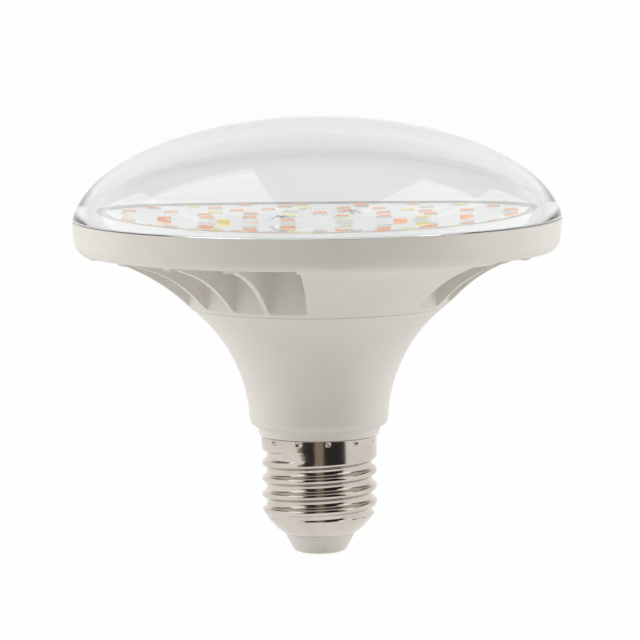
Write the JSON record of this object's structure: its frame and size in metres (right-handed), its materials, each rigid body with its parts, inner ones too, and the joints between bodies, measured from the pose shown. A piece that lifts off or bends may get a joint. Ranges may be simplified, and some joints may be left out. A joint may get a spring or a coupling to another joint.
{
  "type": "grow light bulb",
  "caption": "Mushroom-shaped LED grow lamp with a clear flattened dome, a finned white housing and a screw cap; lights plants from a standard lamp socket.",
  "frame": {"origin": "centre of the cap's end contact, at the lamp's lowest point", "axes": "+Z along the lamp's axis from the cap to the dome; -Y faces the camera of the picture"},
  "size_m": [0.112, 0.112, 0.1002],
  "materials": {
    "clear_cover": "clear, polished",
    "white_plastic": "satin moulded",
    "sink_aluminium": "pressed, plain",
    "board_white": "white solder mask on metal",
    "led_red": "salmon phosphor in a white package",
    "led_yellow": "yellow phosphor in a white package",
    "led_white": "cream phosphor in a white package",
    "screw_steel": "bright zinc plated",
    "solder": "bright solder",
    "wire_red": "insulated wire",
    "wire_black": "insulated wire",
    "driver_green": "green solder mask on glass fibre",
    "capacitor_sleeve": "shrunk sleeve",
    "ferrite": "sintered ferrite",
    "film_box": "dipped resin",
    "fuse_body": "resistor coating",
    "chip_black": "moulded epoxy",
    "tinned_wire": "tinned",
    "nickel_shell": "polished nickel plate",
    "insulator_plastic": "moulded",
    "contact_brass": "nickel plated"
  },
  "bodies": {
    "root": {"dome_cover": "clear_cover", "housing": "white_plastic", "heat_sink": "sink_aluminium", "led_board": "board_white", "leds_red": "led_red", "leds_yellow": "led_yellow", "leds_white": "led_white", "board_screws": "screw_steel", "solder_joints": "solder", "lead_positive": "wire_red", "lead_negative": "wire_black", "driver_board": "driver_green", "input_capacitor": "capacitor_sleeve", "output_capacitor": "capacitor_sleeve", "power_choke": "ferrite", "film_capacitor": "film_box", "fuse_resistor": "fuse_body", "bridge_rectifier": "chip_black", "control_chip": "chip_black", "contact_lead": "tinned_wire", "shell_lead": "tinned_wire", "screw_shell": "nickel_shell", "cap_insulator": "insulator_plastic", "centre_contact": "contact_brass"}
  },
  "joints": []
}
